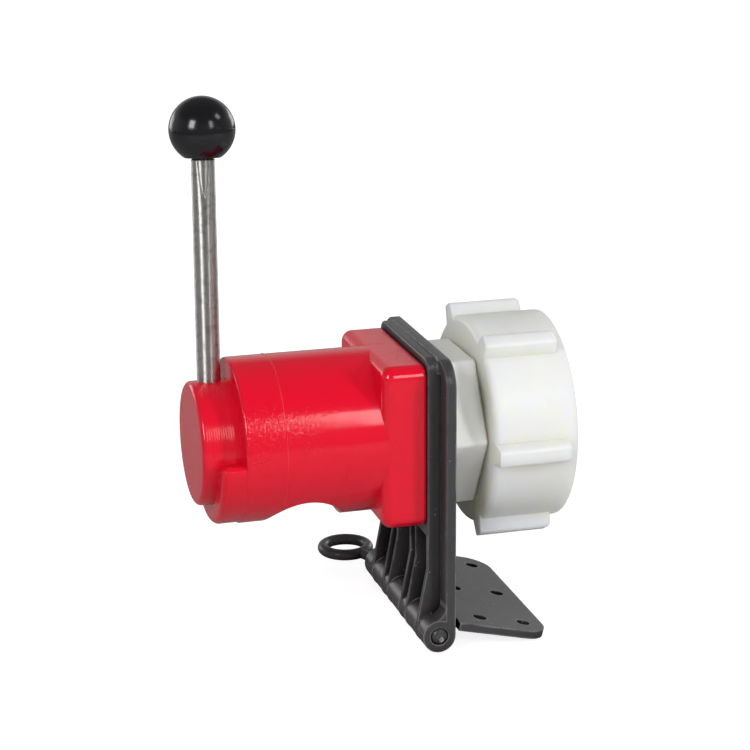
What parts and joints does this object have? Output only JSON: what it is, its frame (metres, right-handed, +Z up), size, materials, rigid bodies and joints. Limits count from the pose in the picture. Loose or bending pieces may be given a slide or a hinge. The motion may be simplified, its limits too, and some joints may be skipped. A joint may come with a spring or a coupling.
{
  "type": "canister tap",
  "caption": "Plug tap for a canister: lever with ball knob, red body with outlet underneath, folding screw-down base and a white union nut.",
  "frame": {"origin": "centre of the union nut's open end, where the canister's neck enters", "axes": "+X along the tap's axis towards the canister, +Z up with the lever standing, +Y away from the outlet side that the picture shows"},
  "size_m": [0.1428, 0.1193, 0.2094],
  "materials": {
    "red_plastic": "moulded, satin gloss",
    "plug_red_plastic": "turned, satin gloss",
    "white_plastic": "natural milky plastic, slightly translucent",
    "black_plastic": "moulded, satin",
    "knob_plastic": "polished",
    "rod_steel": "bright drawn",
    "insert_brass": "turned",
    "seal_rubber": "black",
    "slip_plastic": "white slip ring"
  },
  "bodies": {
    "body": {"valve_body": "red_plastic", "hinge_bracket": "black_plastic", "hex_adapter": "white_plastic", "adapter_seal": "seal_rubber", "inlet_spigot": "white_plastic", "spigot_seal": "seal_rubber", "canister_gasket": "seal_rubber", "thrust_ring": "slip_plastic", "seat_ring": "slip_plastic"},
    "plug": {"valve_plug": "plug_red_plastic", "neck_seal": "seal_rubber", "front_seal": "seal_rubber", "rear_seal": "seal_rubber", "lever_rod": "rod_steel", "knob_insert": "insert_brass", "ball_knob": "knob_plastic"},
    "nut": {"union_nut": "white_plastic"},
    "base": {"base_plate": "black_plastic"},
    "pin": {"hinge_pin": "black_plastic", "pin_core": "rod_steel"}
  },
  "joints": [
    {"name": "lever_turn", "type": "hinge", "parent": "body", "child": "plug", "pos_m": [-0.1, 0, 0], "axis": [1, 0, 0], "range_deg": [0, 90]},
    {"name": "nut_spin", "type": "hinge", "parent": "body", "child": "nut", "pos_m": [-0.0163, 0, 0], "axis": [1, 0, 0], "continuous": true},
    {"name": "base_fold", "type": "hinge", "parent": "body", "child": "base", "pos_m": [-0.05513, 0, -0.0725], "axis": [0, 1, 0], "range_deg": [-13.5, 76.5]},
    {"name": "pin_pull", "type": "slide", "parent": "body", "child": "pin", "axis": [0, 1, 0], "range_m": [0, 0.085]}
  ]
}
